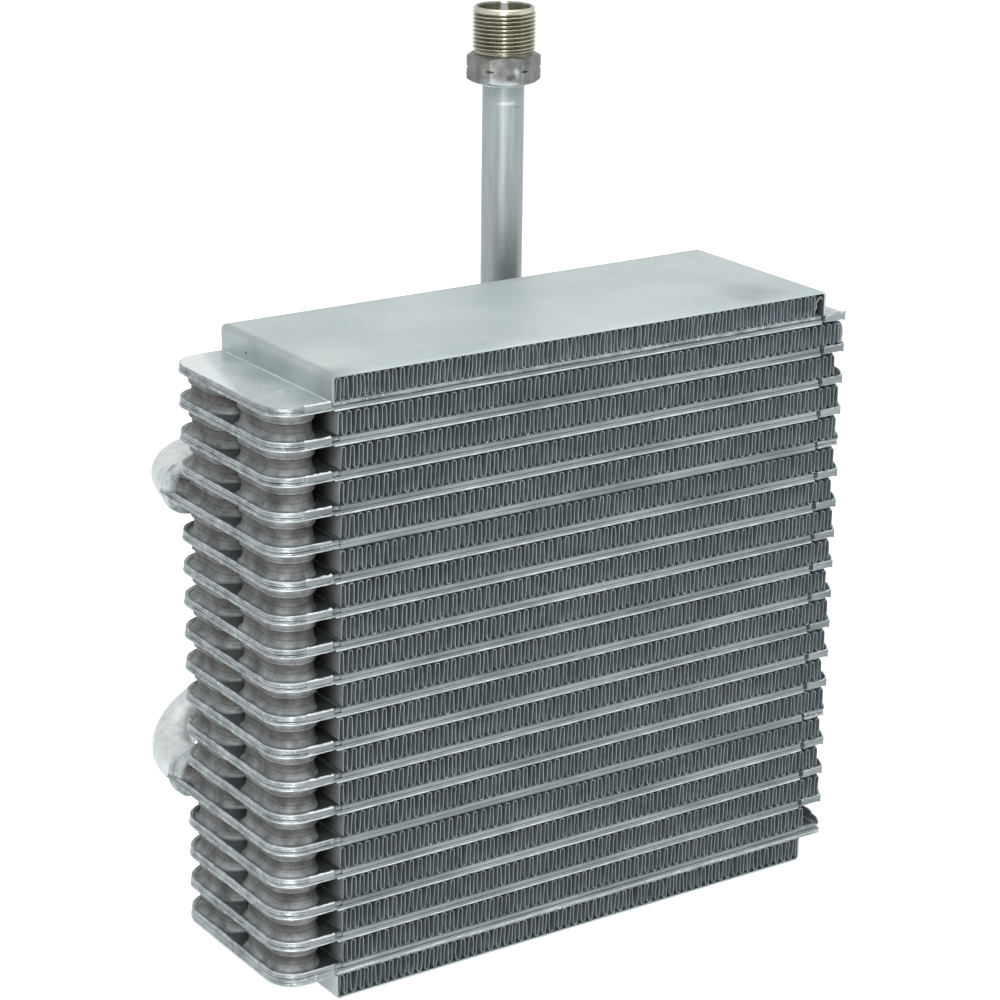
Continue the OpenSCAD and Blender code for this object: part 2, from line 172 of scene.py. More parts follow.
def plate_path(square_rear, notched):
    """The plates' outline from the far front corner, counter-clockwise: x, y and a mitred normal.
    A manifold plate runs straight back at its tank corner, out to the mouth of its socket."""
    h, r_front, r_rear = HALF_D, 11.0, 12.5
    pts = [(FAR_X, -h, 1, -1)] + [(FAR_X, y, 1, 0) for y in np.linspace(-h, h, 14)[1:-1]] + [(FAR_X, h, 1, 1)]
    if square_rear:
        x1, y_top = SOCKET_X + SOCKET_R + 0.7, MOUTH_Y - 0.7
        pts += [(x, h, 0, 1) for x in np.linspace(FAR_X, x1, 60)[1:-1]]
        pts += [(x1, y, *nrm) for y, nrm in ((h, (1, 1)), (h + 2.5, (1, 0)), (h + 5, (1, 0)), (y_top, (1, 1)))]
        pts += [(x, y_top, 0, 1) for x in np.linspace(x1, -TANK_LEN, 9)[1:-1]] + [(-TANK_LEN, y_top, -1, 1)]
    else:
        y_top = h - r_rear
        pts += [(x, h, 0, 1) for x in np.linspace(FAR_X, -TANK_LEN + r_rear, 60)[1:-1]]
        pts += rounded(-TANK_LEN + r_rear, y_top, r_rear, math.pi / 2, math.pi)
    pts += [(-TANK_LEN, y, -1, 0) for y in np.linspace(y_top, -h + r_front, 34)[1:-1]]
    pts += rounded(-TANK_LEN + r_front, -h + r_front, r_front, math.pi, 1.5 * math.pi)
    (near_a, near_b), (far_a, far_b) = NEAR_NOTCH, FAR_NOTCH
    xs = np.concatenate([np.linspace(-TANK_LEN + r_front, -0.9, 9)[1:],
                         [near_a, near_a + 0.25, near_b - 0.25, near_b], np.linspace(4, far_a - 1, 62),
                         [far_a, far_a + 0.25, far_b - 0.25, far_b], np.linspace(far_b + 0.8, FAR_X, 9)[:-1]])
    for x in xs:
        near = NEAR_DEPTH if near_a < x < near_b else 0
        far = FAR_DEPTH if notched and far_a < x < far_b else 0
        pts.append((x, -h + near + far, 0, -1))
    return np.array(pts)


def sweep(path, profile, z, rough, seed):
    """profile rows are (offset outwards, height). Every ridge wanders by itself by about rough."""
    rng = np.random.default_rng(seed)
    n = len(path)
    gaps = np.hypot(*np.diff(path[:, :2], axis=0).T)
    run = np.concatenate([[0], np.cumsum(gaps)])
    fade = np.clip(np.minimum(run, run[-1] - run) / 5, 0, 1)
    P = np.zeros((n, len(profile), 3))
    for j, (d, h) in enumerate(profile):
        out, up = waves(seed * 31 + j, 7, 0.02, 0.22), waves(seed * 37 + j, 7, 0.02, 0.2)
        do = fade * rough * (out(run) - 1.5 + rng.uniform(-0.5, 0.5, n)) * 0.6
        dz = fade * rough * (up(run) + rng.uniform(-0.4, 0.4, n)) * 0.6
        P[:, j, 0] = path[:, 0] + path[:, 2] * (d + do)
        P[:, j, 1] = path[:, 1] + path[:, 3] * (d + do)
        P[:, j, 2] = z + h + dz
    return P


# Materials

def nodes_of(name):
    m = bpy.data.materials.new(name)
    m.use_nodes = True
    nt = m.node_tree
    return m, nt, nt.nodes["Principled BSDF"]


def math_node(nt, op, *values):
    n = nt.nodes.new("ShaderNodeMath")
    n.operation = op
    for sock, v in zip(n.inputs, values):
        if hasattr(v, "is_output"):
            nt.links.new(v, sock)
        else:
            sock.default_value = v
    return n.outputs[0]


def mapped(nt, scale, location=(0, 0, 0)):
    tc = nt.nodes.new("ShaderNodeTexCoord")
    mp = nt.nodes.new("ShaderNodeMapping")
    mp.inputs["Scale"].default_value = scale
    mp.inputs["Location"].default_value = location
    nt.links.new(tc.outputs["Object"], mp.inputs["Vector"])
    return mp.outputs["Vector"]


def noise(nt, scale, detail=4, rough=0.55, stretch=(1, 1, 1)):
    nz = nt.nodes.new("ShaderNodeTexNoise")
    nz.inputs["Scale"].default_value = scale
    nz.inputs["Detail"].default_value = detail
    nz.inputs["Roughness"].default_value = rough
    nt.links.new(mapped(nt, stretch), nz.inputs["Vector"])
    return nz.outputs["Fac"]


def axis_mm(nt, axis):
    """X from the covers' end, Y from the middle or Z from the standing surface, in millimetres."""
    sep = nt.nodes.new("ShaderNodeSeparateXYZ")
    nt.links.new(mapped(nt, (1000, 1000, 1000), (-X0, 0, 0)), sep.inputs[0])
    return sep.outputs[axis]


def ramp(nt, fac, stops):
    r = nt.nodes.new("ShaderNodeValToRGB")
    el = r.color_ramp.elements
    while len(el) < len(stops):
        el.new(0.5)
    for e, (p, c) in zip(el, stops):
        e.position, e.color = p, c
    nt.links.new(fac, r.inputs["Fac"])
    return r.outputs["Color"]


def mix(nt, fac, a, b, mode="MIX"):
    """Mixes two colours: sockets 6 and 7 and output 2 are the node's colour ones."""
    mx = nt.nodes.new("ShaderNodeMix")
    mx.data_type, mx.blend_type = "RGBA", mode
    for sock, val in ((mx.inputs["Factor"], fac), (mx.inputs[6], a), (mx.inputs[7], b)):
        if hasattr(val, "is_output"):
            nt.links.new(val, sock)
        else:
            sock.default_value = val
    return mx.outputs[2]


def remap(nt, value, a, b, lo, hi):
    mr = nt.nodes.new("ShaderNodeMapRange")
    for name, v in (("From Min", a), ("From Max", b), ("To Min", lo), ("To Max", hi)):
        mr.inputs[name].default_value = v
    nt.links.new(value, mr.inputs["Value"])
    return mr.outputs["Result"]


def spot(nt, at, inner, outer, strength=1.0, ragged=0.0, stretch=(1, 1, 1)):
    """strength near a point, fading to 0 between two radii, with an edge broken up by noise."""
    scale = tuple(1000 * s for s in stretch)
    place = (-at[0] * stretch[0] - X0 * stretch[0], -at[1] * stretch[1], -at[2] * stretch[2])
    ln = nt.nodes.new("ShaderNodeVectorMath")
    ln.operation = "LENGTH"
    nt.links.new(mapped(nt, scale, place), ln.inputs[0])
    dist = ln.outputs["Value"]
    if ragged:
        dist = math_node(nt, "ADD", dist, remap(nt, noise(nt, 900 / outer, 4, 0.6), 0.3, 0.7, -ragged, ragged))
    return remap(nt, dist, inner, outer, strength, 0.0)


def bump(nt, bsdf, height, strength, distance):
    b = nt.nodes.new("ShaderNodeBump")
    b.inputs["Strength"].default_value = strength
    b.inputs["Distance"].default_value = distance
    nt.links.new(height, b.inputs["Height"])
    nt.links.new(b.outputs["Normal"], bsdf.inputs["Normal"])


def metal(name, dark, light, fleck=None, scale=60, metallic=0.6, rough=(0.38, 0.5), grain=900,
          grain_bump=0.08, stretch=(1, 1, 1), fleck_at=0.62, marks=None, base=None):
    """Blotched metal. base(nt) gives a colour that the blotches multiply; marks(nt, colour) adds to it."""
    m, nt, bsdf = nodes_of(name)
    col = ramp(nt, noise(nt, scale, 5, 0.6, stretch), [(0.34, dark), (0.66, light)])
    if base:
        col = mix(nt, 1.0, base(nt), col, "MULTIPLY")
    if fleck:
        fl = noise(nt, scale * 5, 3, 0.6)
        col = mix(nt, ramp(nt, fl, [(fleck_at, (0, 0, 0, 1)), (fleck_at + 0.08, (1, 1, 1, 1))]), col, fleck)
    if marks:
        col = marks(nt, col)
    nt.links.new(col, bsdf.inputs["Base Color"])
    bsdf.inputs["Metallic"].default_value = metallic
    fine = noise(nt, grain, 3, 0.6, stretch)
    nt.links.new(remap(nt, fine, 0.3, 0.7, *rough), bsdf.inputs["Roughness"])
    bump(nt, bsdf, fine, grain_bump, 0.0003)
    return m


def painted(*spots):
    """Marks on a surface: rows of (colour, and what spot() takes)."""
    def marks(nt, col):
        for colour, *args in spots:
            col = mix(nt, spot(nt, *args), col, colour)
        return col
    return marks


WHITE, PALE, SHADE, FULL = lin(232, 238, 238), lin(214, 222, 222), lin(140, 148, 150), grey(255)

# Painted shade: the SHADE spots on the cover's top and end wall; besides them a pale patch and a dark pit
wall_marks_and_shade = painted(
    (SHADE, (188, -24, 231), 3, 15, 0.5, 3.0), (SHADE, (180, -31, 231), 2, 9, 0.3, 3.0),
    (PALE, (120, -10, 231), 10, 60, 0.3, 12.0), (SHADE, (20, 10, 231), 5, 34, 0.12, 8.0),
    (SHADE, (0, -6, 226), 2, 9, 0.25, 2.0), (SHADE, (0, 14, 227), 1, 6, 0.3, 2.0),
    (SHADE, (0, -36, 226), 4, 13, 0.55, 2.0), (lin(60, 64, 66), (0, 20.3, 224.8), 0.35, 0.8, 0.9))


def cover_marks(nt, col):
    """Painted shade in spots, darkest at the front of the end wall, a pale patch, a dark pit, and a darker line where
    the sheet is bent beside the tanks.
    """
    stops = [(0.0, grey(240)), (0.08, grey(228)), (0.2, lin(218, 219, 219)), (0.42, FULL)]
    fold = ramp(nt, remap(nt, axis_mm(nt, 0), 0, 8, 0, 1), stops)
    return wall_marks_and_shade(nt, mix(nt, 1.0, col, fold, "MULTIPLY"))


# White specks, and two SHADE spots of painted shade on the top sheet
plate_specks_and_shade = painted(
    (WHITE, (-9.3, -9.3, 221.8), 0.3, 0.9, 1.0, 0.5), (WHITE, (-8.3, -18.3, 221.8), 0.5, 1.4, 0.9, 0.8),
    (WHITE, (-3.1, -17.3, 221.8), 0.3, 0.9, 0.9, 0.4), (WHITE, (-6.4, -15.5, 221.8), 0.2, 0.6, 0.8, 0.4),
    (SHADE, (-6, 4, 221.8), 3, 12, 0.3, 3.0, (1.5, 0.7, 1)), (SHADE, (-3, 26, 221.8), 2, 7, 0.3, 2.0))


def top_glare_and_specks(nt, col):
    """A painted glare along the tanks' outer edge, with a slanting border, and a few specks and spots of painted
    shade.
    """
    slope = 0.265
    border = -13 - 17 * slope
    q = math_node(nt, "SUBTRACT", axis_mm(nt, 0), math_node(nt, "MULTIPLY", axis_mm(nt, 1), slope))
    q = math_node(nt, "ADD", q, remap(nt, noise(nt, 180, 3, 0.5), 0.3, 0.7, -0.9, 0.9))
    painted_glare = remap(nt, q, border - 2.2, border + 1.0, 0.85, 0)
    return plate_specks_and_shade(nt, mix(nt, painted_glare, col, WHITE))


# On the riser: a white streak, a small dark mark, and two SHADE spots of painted shade just under the hexagon
pipe_marks_and_shade = painted(
    (WHITE, (140.4, 67.5, 290.0), 0.5, 2.9, 0.6, 0.7, (0.7, 0.25, 3.0)),
    (SHADE, (134, 67.3, 294.6), 0.5, 4, 0.6, 1.5),
    (lin(104, 112, 114), (144.5, 67.3, 288.4), 0.1, 0.7, 0.8, 0.3, (0.25, 0.2, 2.0)),
    (SHADE, (141, 67.3, 295.2), 2.2, 6.0, 0.75, 1.2, (0.5, 0.5, 1.3)))
# Painted light on the hexagon: painted shade on its middle face, a painted highlight on its left face and painted
# highlights on the lower chamfer; besides them dark marks, a small pale mark and a brown stain
hex_light_and_marks = painted(
    (lin(106, 108, 106), (140, 62.4, FIT_Z + 5.6), 2.0, 6.5, 0.55, 1.0),
    (lin(178, 188, 192), (129, 64, FIT_Z + 1.0), 1.5, 6, 0.7, 1.2, (0.6, 0.6, 2.0)),
    (lin(62, 62, 60), (138.5, 62.6, FIT_Z + 3.2), 0.9, 2.2, 0.8, 0.7, (0.8, 0.8, 1.3)),
    (lin(196, 206, 210), (141, 62.6, FIT_Z + 5.4), 0.4, 1.7, 0.35, 0.8, (1.3, 1.0, 0.7)),
    (lin(160, 157, 151), (128.5, 67, FIT_Z + 6.4), 1.5, 5.5, 0.6, 1.0, (0.8, 0.8, 1.3)),
    (lin(150, 124, 92), (156, 72, FIT_Z + 4), 1.5, 7, 0.6, 1.5),
    (lin(84, 84, 82), (138.5, 62.6, FIT_Z + 7.2), 0.5, 2.4, 0.6, 0.9),
    (lin(186, 194, 196), (137.6, 63.4, FIT_Z + 0.5), 0.8, 4.6, 0.6, 0.8, (0.62, 0.62, 3.0)))
# A painted highlight: a pale upright streak on the far wall of the bore
bore_highlight = painted(
    (lin(250, 250, 246), (RISE_X + 5.4, BACK_Y + 8.0, THREAD_TOP - 3), 1.0, 1.9, 1.0, 0.3, (1, 1, 0.25)))


def pitch_share(nt):
    """0 at the middle of a tube, rising to 1 at the middle of the tube above. It counts from far
    below, which keeps the fraction's sign right at the floor."""
    z = math_node(nt, "SUBTRACT", axis_mm(nt, 2), BOTTOM_TUBE_Z - 20 * PITCH)
    return math_node(nt, "FRACT", math_node(nt, "DIVIDE", z, PITCH))


def cup_tone_and_shadow(nt):
    """Cup walls darken and turn browner up to the collar, into a band of painted shadow just under it; the collar
    darkens down to a fine bright edge.
    """
    stops = [(0.09, lin(172, 178, 180)), (0.16, lin(162, 168, 170)), (0.25, lin(140, 144, 145)),
             (0.29, lin(144, 148, 148)), (0.315, lin(104, 105, 104)), (0.34, lin(116, 117, 116)),
             (0.4, lin(120, 121, 119)), (0.47, lin(102, 101, 98)), (0.53, lin(106, 105, 102)),
             (0.58, lin(82, 81, 79)), (0.6, lin(66, 65, 64)), (0.618, lin(162, 167, 168)),
             (0.65, lin(142, 146, 147)), (0.68, lin(122, 124, 123)), (0.76, lin(150, 154, 156)),
             (0.895, lin(186, 193, 194))]
    return ramp(nt, pitch_share(nt), stops)


def pipe_tone(nt):
    """The elbows behind the tanks are paler than the riser."""
    fac = remap(nt, axis_mm(nt, 0), 60, 125, 0, 1)
    return mix(nt, fac, lin(224, 230, 229), lin(172, 180, 181))


def fin_tone(nt):
    """Fin faces are paler towards their feet."""
    return ramp(nt, pitch_share(nt), [(0.14, FULL), (0.4, grey(226)), (0.8, grey(214))])


def end_leg_light_and_shade(nt):
    """The first leg of a row is painted lit at its cut edge and in painted shade further in."""
    stops = [(0.0, lin(218, 222, 222)), (0.06, lin(184, 185, 183)),
             (0.14, lin(104, 103, 102)), (0.24, lin(58, 59, 60))]
    first = ramp(nt, remap(nt, axis_mm(nt, 1), -HALF_D, HALF_D, 0, 1), stops)
    return mix(nt, remap(nt, axis_mm(nt, 0), 100, 110, 0, 1), first, lin(190, 194, 194))


def socket_crease_shade(nt, col):
    """Painted shade: the cast sockets darken where they meet the cups."""
    stops = [(0.0, lin(118, 120, 120)), (0.3, lin(206, 208, 208)), (0.6, FULL)]
    fade = ramp(nt, remap(nt, axis_mm(nt, 1), 34.4, 40, 0, 1), stops)
    return mix(nt, 1.0, col, fade, "MULTIPLY")


def painted_corner_shine(nt, col):
    """A painted highlight: the rims shine where they turn round the front corner."""
    fade = remap(nt, axis_mm(nt, 1), -36, -27, 0, 0.85)
    fade = math_node(nt, "MAXIMUM", fade, remap(nt, axis_mm(nt, 0), -7, 1, 0, 0.6))
    shine = ramp(nt, noise(nt, 300, 4, 0.6), [(0.35, lin(104, 112, 115)), (0.7, lin(206, 214, 214))])
    return mix(nt, fade, col, shine)


def thread_root_shade(nt):
    """Painted shade in the dark roots under pale crests, along the helix."""
    x = math_node(nt, "SUBTRACT", axis_mm(nt, 0), RISE_X)
    y = math_node(nt, "SUBTRACT", axis_mm(nt, 1), BACK_Y)
    turn = math_node(nt, "DIVIDE", math_node(nt, "ARCTAN2", y, x), 2 * math.pi)
    height = math_node(nt, "DIVIDE", axis_mm(nt, 2), THREAD_PITCH)
    phase = math_node(nt, "FRACT", math_node(nt, "SUBTRACT", height, turn))
    off = math_node(nt, "ABSOLUTE", math_node(nt, "SUBTRACT", phase, 0.5))
    band = remap(nt, axis_mm(nt, 2), THREAD_TOP - 2.2, THREAD_TOP - 1.8, 0, 1)
    off = math_node(nt, "MULTIPLY", off, math_node(nt, "SUBTRACT", 1.0, band))
    return ramp(nt, off, [(0.14, FULL), (0.3, lin(214, 212, 208)), (0.43, lin(150, 147, 142))])


MAT_COVER = metal("cover_sheet", lin(182, 194, 194), lin(198, 208, 207), scale=22, metallic=0.5,
                  rough=(0.42, 0.5), grain_bump=0.05, marks=cover_marks)
MAT_TOP = metal("top_sheet", lin(178, 188, 189), lin(202, 212, 212), scale=40, metallic=0.5,
                rough=(0.34, 0.42), grain_bump=0.04, marks=top_glare_and_specks)
# The flanges take a darker copy of the plates' metal than the rims, as painted shade
MAT_PLATE = metal("plate_sheet_shaded", lin(88, 94, 96), lin(118, 124, 126), lin(124, 131, 133), scale=70, metallic=0.6,
                  rough=(0.34, 0.46), grain_bump=0.18, fleck_at=0.66)
MAT_EDGE = metal("plate_edge", lin(126, 134, 137), lin(172, 180, 182), lin(216, 224, 224), scale=150, metallic=0.65,
                 rough=(0.24, 0.4), grain_bump=0.34, fleck_at=0.62)
MAT_STRIP = metal("plate_strip", lin(112, 120, 123), lin(156, 164, 166), lin(200, 208, 208), scale=110, metallic=0.5,
                  rough=(0.34, 0.46), grain_bump=0.2, fleck_at=0.68, stretch=(0.22, 1, 1.6))
# Lighter copies of the plates' metal, as painted highlights on lip edges, bent fin feet, rim beads and lip tops
MAT_BRIGHT = metal("plate_edge_painted_highlight", lin(170, 178, 178), lin(226, 232, 232), scale=170, metallic=0.25,
                   rough=(0.4, 0.55), grain_bump=0.3)
MAT_SHOULDER = metal("tank_shoulder_painted_highlight", lin(186, 194, 194), lin(240, 246, 246), scale=130, metallic=0.3,
                     rough=(0.3, 0.45), grain_bump=0.2, marks=painted_corner_shine)
MAT_GLINT = metal("lip_top_painted_glint", lin(214, 222, 222), FULL, scale=220, metallic=0.2,
                  rough=(0.3, 0.45), grain_bump=0.3)
MAT_CUP = metal("cup_wall", lin(166, 165, 163), FULL, lin(136, 131, 120), scale=150, metallic=0.5,
                rough=(0.5, 0.62), grain_bump=0.2, fleck_at=0.67, base=cup_tone_and_shadow)
# Painted light and shade: the two sides of one fin sheet, the loops' inner faces lighter and the outer faces darker
MAT_FIN = metal("fin_outer_face_shaded", lin(130, 142, 150), lin(162, 174, 181), scale=140, metallic=0.5,
                rough=(0.4, 0.55), grain_bump=0.05, base=fin_tone)
MAT_FIN_IN = metal("fin_inner_face_lit", lin(146, 158, 165), lin(184, 195, 201), scale=140, metallic=0.5,
                   rough=(0.4, 0.55), grain_bump=0.05, base=fin_tone)
MAT_FIN_EDGE = metal("fin_edge", lin(116, 125, 129), lin(158, 167, 170), lin(200, 208, 208), scale=200, metallic=0.4,
                     rough=(0.4, 0.5), grain_bump=0.05, fleck_at=0.72)
MAT_FIN_END = metal("fin_end_leg", lin(186, 190, 190), lin(226, 230, 230), scale=90, metallic=0.5,
                    rough=(0.4, 0.5), grain_bump=0.08, base=end_leg_light_and_shade)
MAT_PIPE = metal("pipe_wall", grey(228), FULL, scale=60, metallic=0.5, rough=(0.36, 0.46),
                 grain_bump=0.04, stretch=(6, 6, 0.5), base=pipe_tone, marks=pipe_marks_and_shade)
MAT_SOCKET = metal("socket_cast", lin(138, 146, 148), lin(218, 226, 226), lin(230, 236, 236), scale=150,
                   metallic=0.45, rough=(0.5, 0.65), grain=400, grain_bump=0.3, fleck_at=0.6, marks=socket_crease_shade)
MAT_BRAZE = metal("braze", lin(196, 204, 203), lin(228, 234, 233), scale=200, metallic=0.4, rough=(0.3, 0.5),
                  grain=700, grain_bump=0.5)
MAT_HEX = metal("fitting_hex", lin(84, 85, 83), lin(130, 132, 129), lin(184, 188, 186), scale=150, metallic=0.75,
                rough=(0.28, 0.42), grain_bump=0.2, fleck_at=0.68, marks=hex_light_and_marks)
MAT_THREAD = metal("fitting_thread", lin(158, 156, 136), lin(198, 196, 180), lin(226, 206, 128), scale=90,
                   metallic=0.95, rough=(0.2, 0.27), grain_bump=0.0, fleck_at=0.7, base=thread_root_shade)
MAT_BORE = metal("fitting_bore", lin(98, 96, 80), lin(142, 140, 124), lin(206, 192, 120), scale=160, metallic=0.3,
                 rough=(0.3, 0.4), grain_bump=0.05, fleck_at=0.7, marks=bore_highlight)


# Plates

# Places in the list of the plates' materials
FLAT, EDGE, SOCKET, CUP, BRIGHT, STRIP, TOP, SHOULDER, GLINT = range(9)
PLATE_MATS = [MAT_PLATE, MAT_EDGE, MAT_SOCKET, MAT_CUP, MAT_BRIGHT, MAT_STRIP, MAT_TOP, MAT_SHOULDER, MAT_GLINT]

# Rims, cup walls and collars as sections: (outwards, up from the joint of the two halves)
UPPER_RIM = [(-3.4, 1.2), (-2.1, 1.24), (-1.6, 1.36), (-1.25, 1.58), (-1.0, 1.82), (-0.78, 1.94), (-0.52, 1.88),
             (-0.4, 1.65), (-0.46, 1.3), (-0.36, 1.1), (-0.5, 0.9), (-0.34, 0.7), (-0.3, 0.4), (-0.42, 0.14),
             (-0.7, 0.04), (-1.1, 0.0)]
LOWER_RIM = [(-1.1, 0.0), (-0.5, -0.06), (-0.3, -0.18), (-0.26, -0.46), (-0.4, -0.58), (-0.28, -0.7), (-0.16, -0.86),
             (-0.04, -0.96), (0.0, -1.12), (-0.06, -1.24), (-0.3, -1.3), (-0.9, -1.3), (-1.6, -1.3), (-3.4, -1.3)]
TOP_RIM = [(-3.4, 1.55), (-1.9, 1.55), (-1.0, 1.55), (-0.62, 1.5), (-0.42, 1.36), (-0.36, 1.12), (-0.52, 0.98),
           (-0.4, 0.84), (-0.34, 0.6), (-0.54, 0.46), (-0.38, 0.32), (-0.4, 0.14), (-0.7, 0.04), (-1.1, 0.0)]
BOTTOM_RIM = [(-1.1, 0.0), (-0.45, -0.06), (-0.3, -0.25), (-0.3, -0.9), (-0.2, -1.05), (0.0, -1.2), (0.0, -1.35),
              (-0.25, -1.5), (-0.12, -1.65), (0.0, -1.8), (0.0, -2.5), (-0.2, -2.75), (-0.8, -2.8), (-3.4, -2.8)]
CUP_PROFILE = [(2.6, 1.16), (1.9, 1.3), (1.3, 1.46), (0.85, 1.7), (0.5, 2.06), (0.24, 2.7), (0.0, 3.6), (-0.14, 4.8),
               (-0.14, 6.2), (-0.04, 7.6), (0.0, 8.6), (0.0, 10.9)]
COLLAR_PROFILE = [(0.04, -4.6), (0.45, -4.78), (0.85, -4.74), (1.05, -4.5), (1.0, -4.0), (1.06, -3.2), (1.2, -2.4),
                  (1.45, -1.8), (1.9, -1.46), (2.6, -1.28)]

# Folded lips on the long edges, as sections (out, up): each has its edge of painted highlight first
LONG_LIP = [(-0.3, -1.5), (0.28, -1.54), (0.52, -1.42), (0.56, -1.12), (0.48, -0.88), (0.32, -0.8), (0.28, -0.52),
            (0.32, -0.3), (0.22, -0.14), (-0.3, -0.08)]
TANK_LIP = [(-0.4, 2.32), (0.02, 2.36), (0.22, 2.22), (0.26, 1.8), (0.04, 1.62), (0.1, 1.3), (0.0, 0.94), (0.12, 0.7),
            (0.02, 0.4), (0.1, 0.1), (-0.05, -0.2), (-0.3, -0.24)]
END_LIP = [(-0.1, 1.75), (0.3, 1.82), (0.52, 1.62), (0.44, 1.3), (0.5, 0.7), (0.42, 0.2), (0.5, -0.4), (0.4, -0.72),
           (-0.1, -0.78)]


def strip(shape, xa, xb, section, y_sign, up, z, seed, jag=0.05, flare=0.0, ease=0.0, bright=4, lit=BRIGHT):
    """A folded strip along X on a long edge. Its first faces, bright in number, take the material
    lit, a painted highlight, and wander by jag; flare opens its far tip and ease draws its near end in."""
    rng = np.random.default_rng(seed)
    n = max(8, int(abs(xb - xa) / (1.1 if xb - xa < 30 else 2.6)))
    xs = np.concatenate([[xa, xa + 0.15], np.linspace(xa + 0.5, xb - 0.5, n), [xb - 0.15, xb]])
    sec = np.asarray(section, float)
    mid = sec.mean(axis=0)
    P = np.zeros((len(xs), len(sec), 3))
    size = np.ones(len(xs))
    size[[0, -1]], size[[1, -2]] = 0.7, 0.92
    tip = 1 + flare * np.clip(1 - (xb - xs) / 2.2, 0, 1) ** 1.5
    out = np.clip((xs - xa) / ease, 0, 1) if ease else size
    for j, (a, b) in enumerate(sec):
        w1, w2 = waves(seed * 13 + j, 7, 0.02, 0.3), waves(seed * 17 + j, 7, 0.04, 0.5)
        wander = (jag if j < 3 else 0.04) * (w2(xs) + rng.uniform(-0.7, 0.7, len(xs)) - 0.8)
        P[:, j, 0] = xs
        P[:, j, 1] = y_sign * (HALF_D + sec[0, 0] + (a - sec[0, 0]) * out + 0.03 * (w1(xs) - 1))
        P[:, j, 2] = z + up * (mid[1] + (b - mid[1]) * size * tip + wander)
    shape.grid(P, close_v=True, mat=[lit] * bright + [STRIP] * (len(sec) - bright))
    shape.cap(P[0], STRIP)
    shape.cap(P[-1], STRIP)


def rim(shape, profile, z, seed, square_rear, flange, rough=0.09, notched=True):
    """Outline of one plate with its flat flange on the side away from the joint."""
    path = plate_path(square_rear, notched)
    P = sweep(path, profile, z, rough, seed)
    if profile is UPPER_RIM:
        # it stands up round the tanks alone
        top = np.where(path[:, 0] < 0, 3.0, RIM + 0.05)
        P[:, :, 2] = np.minimum(P[:, :, 2], z + top[:, None])
    if square_rear:
        # it thins out beside the socket
        thin = np.interp(path[:, 1], [36.0, 40.0], [1.0, 0.4])
        P[:, :, 2] = z + (P[:, :, 2] - z) * thin[:, None]
    P[:, :, 0] = np.clip(P[:, :, 0], -TANK_LEN, FAR_X)
    n = len(profile) - 1
    outer = 0 if profile[0][0] < -3 else n
    mats = [flange if abs(j + 0.5 - outer) < 2 else EDGE for j in range(n)]
    # the beads of the rims take the shoulder material, a painted highlight
    if profile is UPPER_RIM:
        mats[2:7] = [SHOULDER] * 5
    elif profile is LOWER_RIM:
        mats[6:9] = [SHOULDER] * 3
    shape.grid(P, close_u=True, mat=mats)
    shape.cap(P[:, outer], flange)


def runs(shape, up, z, seed):
    """The raised part of a plate that the fins stand on."""
    xs = np.linspace(2.8, FAR_NOTCH[0] - 0.6, 60)
    w = waves(seed, 6, 0.01, 0.12)
    sec = [(0.0, 0.06), (0.1, 0.21), (0.1, HALF_TUBE - 0.3), (-0.02, HALF_TUBE - 0.06), (-0.3, HALF_TUBE)]
    sec += [(-2 * HALF_D - a, b) for a, b in sec[::-1]]
    P = np.zeros((len(xs), len(sec), 3))
    for j, (a, b) in enumerate(sec):
        P[:, j, 0] = xs
        P[:, j, 1] = -(HALF_D + a) + 0.05 * w(xs) * (-1 if a < -10 else 1)
        P[:, j, 2] = z + up * b
    shape.grid(P, close_v=True, mat=STRIP)
    shape.cap(P[0], STRIP)
    shape.cap(P[-1], STRIP)


def cups(shape, profile, z, seed):
    """The front and rear cup walls of one plate, or the collars that hang round them."""
    for s in (-1, 1):
        short = REAR_CUP_SHORT if s > 0 else 0.0
        path = racetrack(CUP_R, CUP_STRAIGHT - short, 22)
        P = sweep(path, profile, z, 0.1 if profile is CUP_PROFILE else 0.2, seed + s)
        P[:, :, 0] += CUP_X
        P[:, :, 1] += s * CUP_Y - short / 2
        # the foot is steeper on the sides that face the fins and the other cup
        nx, ny = path[:, 2], path[:, 3]
        narrow = np.maximum(np.clip((nx - 0.1) / 0.5, 0, 1), np.clip((-s * ny - 0.3) / 0.5, 0, 1)) * 0.6
        for j, (d, h) in enumerate(profile):
            if d > 0.3 and profile is CUP_PROFILE:
                P[:, j, 0] -= nx * d * narrow
                P[:, j, 1] -= ny * d * narrow
        shape.grid(P, close_u=True, mat=CUP)


def stop_tab(shape, z, seed):
    """The far edge folded up to stop the fins, lower at its two ends."""
    rng = np.random.default_rng(seed)
    half = HALF_D - 0.1
    side = [(half, 0.0), (half, 0.7), (half - 0.5, 1.7), (half - 1.8, 2.5), (half - 3.9, 2.8),
            (half - 4.5, 3.4), (half - 5.2, 3.9), (half - 6.4, 4.2)]
    outline = [(-y + rng.uniform(-0.04, 0.04), t) for y, t in side] + side[::-1]
    n = len(outline)
    inner = [(FAR_X - 0.64, y, z + RIM + t) for y, t in outline]
    outer = [(FAR_X - 0.06, y, z + RIM + t) for y, t in outline]
    sides = [(i, i + n, (i + 1) % n + n, (i + 1) % n) for i in range(n)]
    shape.add(inner + outer, [tuple(range(n)), tuple(range(n, 2 * n))] + sides, EDGE)


